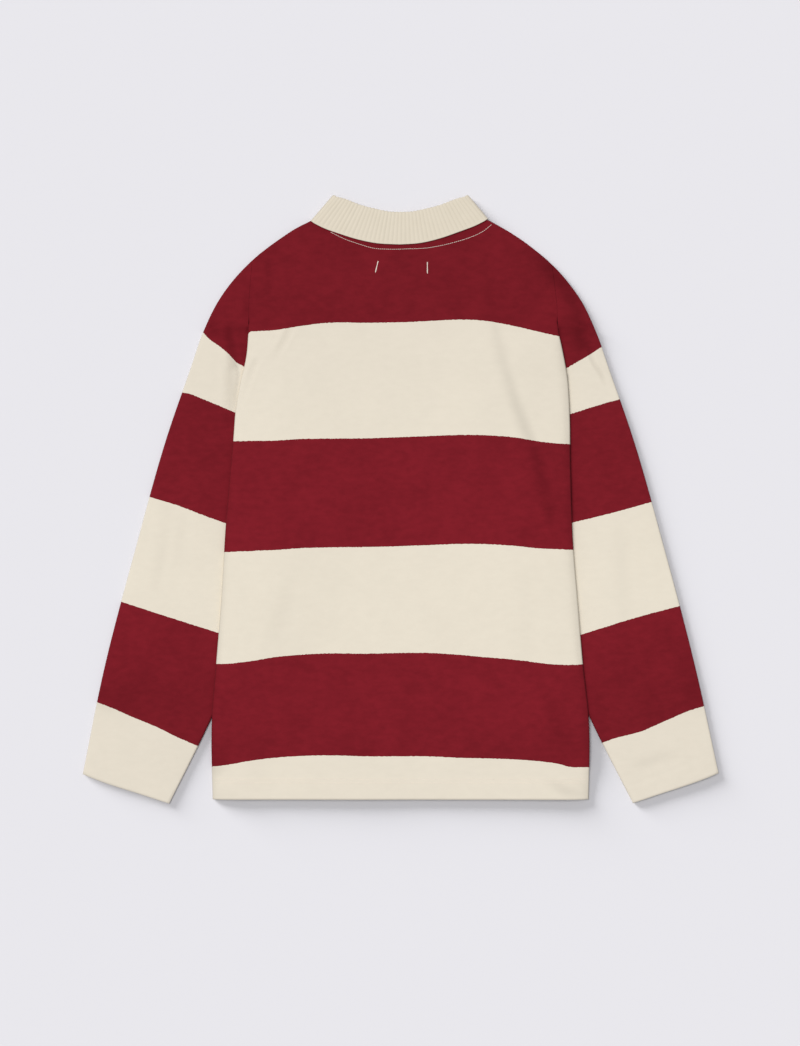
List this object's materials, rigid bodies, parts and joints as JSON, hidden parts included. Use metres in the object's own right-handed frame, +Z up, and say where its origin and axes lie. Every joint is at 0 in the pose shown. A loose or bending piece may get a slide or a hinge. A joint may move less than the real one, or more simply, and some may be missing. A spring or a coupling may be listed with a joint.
{
  "type": "polo shirt",
  "caption": "Long-sleeved striped knit shirt laid flat with its back up, its rib collar turned down.",
  "frame": {"origin": "on the surface that the shirt lies on, under the middle of the shirt's box", "axes": "+Z is up out of the surface, +Y runs from the hem to the collar, +X is to the right as the back is seen from above"},
  "size_m": [0.7648, 0.7303, 0.0109],
  "materials": {
    "striped_jersey": "matte heavy cotton jersey with wide burgundy and cream stripes",
    "rib_knit": "matte cream flat-knit rib",
    "placket_jersey": "matte cream jersey",
    "button_resin": "satin cream resin"
  },
  "bodies": {
    "root": {"back": "striped_jersey", "front": "striped_jersey", "sleeve_left": "striped_jersey", "sleeve_right": "striped_jersey", "collar": "rib_knit", "placket": "placket_jersey", "button_1": "button_resin", "button_2": "button_resin", "button_3": "button_resin"}
  },
  "joints": []
}
